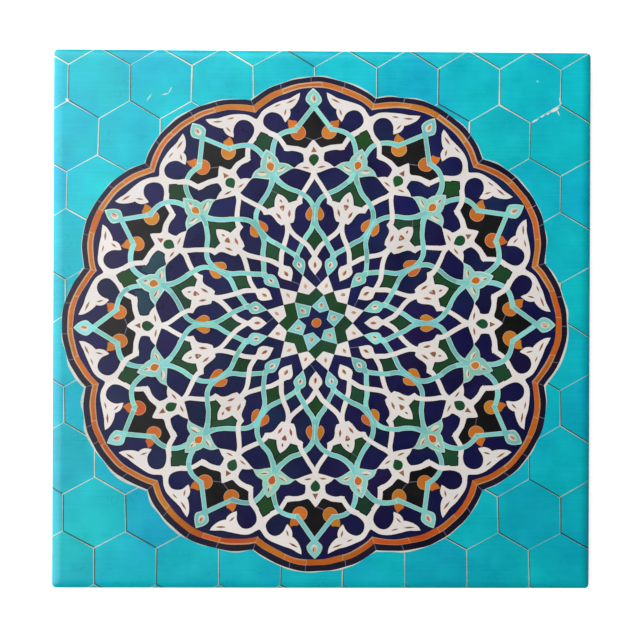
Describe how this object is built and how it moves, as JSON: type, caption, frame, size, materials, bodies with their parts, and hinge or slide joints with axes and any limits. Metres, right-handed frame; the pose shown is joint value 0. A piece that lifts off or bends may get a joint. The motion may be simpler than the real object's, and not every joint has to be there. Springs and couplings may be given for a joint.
{
  "type": "printed ceramic wall tile",
  "caption": "Flat square glazed ceramic wall tile with a printed traditional rosette mosaic, cushioned edges and a keyed unglazed back for bedding in adhesive.",
  "frame": {"origin": "centre of the back, on the plane of its ribs", "axes": "+Z out of the glazed face, +X to the right and +Y up in the printed picture"},
  "size_m": [0.152, 0.152, 0.006],
  "materials": {
    "glaze": "gloss"
  },
  "bodies": {
    "root": {"tile": "glaze"}
  },
  "joints": []
}
